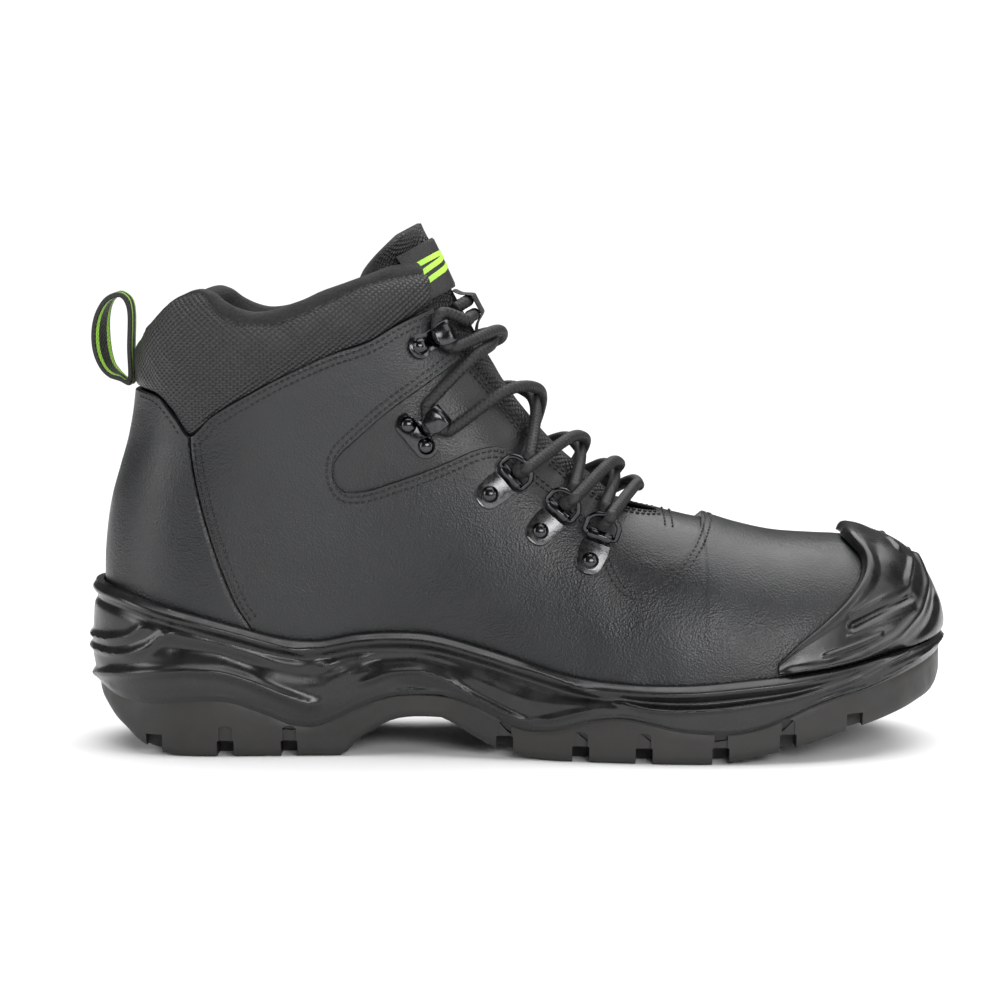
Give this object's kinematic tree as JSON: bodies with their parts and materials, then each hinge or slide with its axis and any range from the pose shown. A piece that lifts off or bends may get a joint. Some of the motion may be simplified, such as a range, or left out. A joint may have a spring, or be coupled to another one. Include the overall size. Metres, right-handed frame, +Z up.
{
  "type": "steel toe work boot",
  "caption": "Ankle-high black leather safety boot with a steel toe, bumper cap, cleated rubber sole, padded collar, tied lace, swinging lace rings, speed hooks and a pull loop.",
  "frame": {"origin": "centre of the boot's footprint on the ground, at the underside of the tread", "axes": "+X to the toe, +Y to the medial side of this right boot, +Z up"},
  "size_m": [0.3046, 0.1092, 0.1841],
  "materials": {
    "rubber": "matt nitrile rubber, brownish grey-black",
    "sole": "moulded polyurethane, black with a low sheen",
    "leather": "smooth full-grain leather, black with a blue-grey sheen",
    "mesh_fabric": "woven ballistic nylon, black",
    "lining": "fine knitted mesh, dark grey",
    "foam": "open-cell foam",
    "board": "pressed fibre board",
    "steel": "pressed steel, plain",
    "metal": "black nickel, glossy",
    "clip_metal": "gunmetal grey lacquer, satin",
    "webbing": "woven webbing, black with a lime edge stripe",
    "lace": "round braided polyester, black",
    "label": "woven patch, black with a lime mark"
  },
  "bodies": {
    "root": {"collar": "mesh_fabric", "collar_foam": "foam", "d_ring_clip_lateral_lower": "clip_metal", "d_ring_clip_lateral_middle": "clip_metal", "d_ring_clip_lateral_upper": "clip_metal", "d_ring_clip_medial_lower": "clip_metal", "d_ring_clip_medial_middle": "clip_metal", "d_ring_clip_medial_upper": "clip_metal", "d_ring_rivet_lateral_lower": "metal", "d_ring_rivet_lateral_middle": "metal", "d_ring_rivet_lateral_upper": "metal", "d_ring_rivet_medial_lower": "metal", "d_ring_rivet_medial_middle": "metal", "d_ring_rivet_medial_upper": "metal", "facing": "leather", "heel_cover": "leather", "heel_stiffener": "board", "hook_rivet_lateral_lower_1": "metal", "hook_rivet_lateral_lower_2": "metal", "hook_rivet_lateral_upper": "metal", "hook_rivet_medial_lower_1": "metal", "hook_rivet_medial_lower_2": "metal", "hook_rivet_medial_upper": "metal", "insole_board": "board", "lace": "lace", "lace_hook_lateral_lower": "metal", "lace_hook_lateral_upper": "metal", "lace_hook_medial_lower": "metal", "lace_hook_medial_upper": "metal", "lace_keeper": "webbing", "lining": "lining", "midsole": "sole", "outsole": "rubber", "scuff_cap": "sole", "steel_midsole_plate": "steel", "steel_toe_cap": "steel", "tongue_cover": "mesh_fabric", "tongue_foam": "foam", "tongue_gusset_lateral": "leather", "tongue_gusset_medial": "leather", "tongue_label": "label", "tongue_lining": "lining", "vamp_quarters": "leather"},
    "d_ring_lateral_lower": {"d_ring_lateral_lower": "metal"},
    "d_ring_lateral_middle": {"d_ring_lateral_middle": "metal"},
    "d_ring_lateral_upper": {"d_ring_lateral_upper": "metal"},
    "d_ring_medial_lower": {"d_ring_medial_lower": "metal"},
    "d_ring_medial_middle": {"d_ring_medial_middle": "metal"},
    "d_ring_medial_upper": {"d_ring_medial_upper": "metal"},
    "footbed": {"footbed": "foam"},
    "pull_loop": {"pull_loop": "webbing"}
  },
  "joints": [
    {"name": "d_ring_lateral_lower_hinge", "type": "hinge", "parent": "root", "child": "d_ring_lateral_lower", "pos_m": [0.02718, -0.03485, 0.0767], "axis": [0.9334, -0.1141, -0.3402], "range_deg": [-5, 5]},
    {"name": "d_ring_lateral_middle_hinge", "type": "hinge", "parent": "root", "child": "d_ring_lateral_middle", "pos_m": [0.01298, -0.03289, 0.08497], "axis": [0.7393, -0.1569, -0.6548], "range_deg": [-5, 5]},
    {"name": "d_ring_lateral_upper_hinge", "type": "hinge", "parent": "root", "child": "d_ring_lateral_upper", "pos_m": [-0.00347, -0.0317, 0.0967], "axis": [0.645, -0.1063, -0.7568], "range_deg": [-5, 5]},
    {"name": "d_ring_medial_lower_hinge", "type": "hinge", "parent": "root", "child": "d_ring_medial_lower", "pos_m": [0.02728, 0.03186, 0.07664], "axis": [0.9309, 0.079, -0.3567], "range_deg": [-5, 5]},
    {"name": "d_ring_medial_middle_hinge", "type": "hinge", "parent": "root", "child": "d_ring_medial_middle", "pos_m": [0.01305, 0.03063, 0.08486], "axis": [0.736, 0.1141, -0.6673], "range_deg": [-5, 5]},
    {"name": "d_ring_medial_upper_hinge", "type": "hinge", "parent": "root", "child": "d_ring_medial_upper", "pos_m": [-0.0034, 0.03049, 0.09663], "axis": [0.6418, 0.0721, -0.7635], "range_deg": [-5, 5]},
    {"name": "footbed_lift", "type": "hinge", "parent": "root", "child": "footbed", "pos_m": [0.136, 0.00757, 0.03], "axis": [0, 1, 0], "range_deg": [0, 8]},
    {"name": "pull_loop_fold", "type": "hinge", "parent": "root", "child": "pull_loop", "pos_m": [-0.1382, 0.00057, 0.1284], "axis": [0, 1, 0], "range_deg": [-45, 0]}
  ]
}
